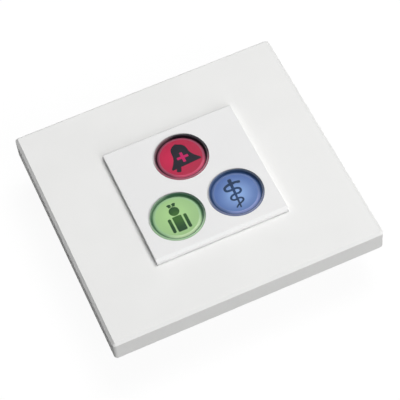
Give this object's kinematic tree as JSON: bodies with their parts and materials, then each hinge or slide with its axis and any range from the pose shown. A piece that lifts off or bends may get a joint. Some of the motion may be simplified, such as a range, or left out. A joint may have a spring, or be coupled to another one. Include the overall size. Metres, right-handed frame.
{
  "type": "nurse call module",
  "caption": "Flat wall plate with a square module that holds lit round push buttons, clipped to a screwed frame, with a housing and a circuit board behind.",
  "frame": {"origin": "in the wall plane, in the middle of the four screw slots of the mounting frame", "axes": "+Z out of the wall, +Y up the wall, +X to the right as a person in front of the unit sees it"},
  "size_m": [0.09, 0.084, 0.0234],
  "materials": {
    "cover_white": "satin, finely textured moulding",
    "fascia_white": "satin, finely textured moulding",
    "frame_grey": "glass-filled moulding",
    "housing_white": "matt moulding",
    "red_ring": "clear tinted, polished",
    "green_ring": "clear tinted, polished",
    "blue_ring": "clear tinted, polished",
    "red_cap": "tinted, polished",
    "green_cap": "tinted, polished",
    "blue_cap": "tinted, polished",
    "printed_film": "printed polyester",
    "opal": "opal moulding",
    "silicone": "silicone",
    "black_plastic": "moulded",
    "lamp_yellow": "cast resin in a case",
    "board_green": "solder resist on glass laminate",
    "can_metal": "drawn can",
    "terminal_grey": "moulded",
    "clamp_brass": "plated",
    "screw_steel": "zinc plated"
  },
  "bodies": {
    "module": {"cover_frame": "cover_white", "mounting_frame": "frame_grey", "module_fascia": "fascia_white", "rear_housing": "housing_white", "housing_screws": "screw_steel", "main_board": "board_green", "resistors": "black_plastic", "controller_chip": "black_plastic", "bus_driver_chip": "black_plastic", "smoothing_capacitor": "can_metal", "terminal_block": "terminal_grey", "terminal_clamps": "clamp_brass", "terminal_screws": "screw_steel", "red_bezel": "red_ring", "red_boot": "silicone", "red_switch": "black_plastic", "red_leds": "lamp_yellow", "green_bezel": "green_ring", "green_boot": "silicone", "green_switch": "black_plastic", "green_leds": "lamp_yellow", "blue_bezel": "blue_ring", "blue_boot": "silicone", "blue_switch": "black_plastic", "blue_leds": "lamp_yellow"},
    "red_button": {"red_cap": "red_cap", "red_legend": "printed_film", "red_light_guide": "opal", "red_plunger": "black_plastic"},
    "green_button": {"green_cap": "green_cap", "green_legend": "printed_film", "green_light_guide": "opal", "green_plunger": "black_plastic"},
    "blue_button": {"blue_cap": "blue_cap", "blue_legend": "printed_film", "blue_light_guide": "opal", "blue_plunger": "black_plastic"}
  },
  "joints": [
    {"name": "red_press", "type": "slide", "parent": "module", "child": "red_button", "axis": [0, 0, -1], "range_m": [0, 0.001], "stiffness_N_per_m": 400, "springref_m": -0.002, "deforming": ["red_boot"]},
    {"name": "green_press", "type": "slide", "parent": "module", "child": "green_button", "axis": [0, 0, -1], "range_m": [0, 0.001], "stiffness_N_per_m": 400, "springref_m": -0.002, "deforming": ["green_boot"]},
    {"name": "blue_press", "type": "slide", "parent": "module", "child": "blue_button", "axis": [0, 0, -1], "range_m": [0, 0.001], "stiffness_N_per_m": 400, "springref_m": -0.002, "deforming": ["blue_boot"]}
  ]
}
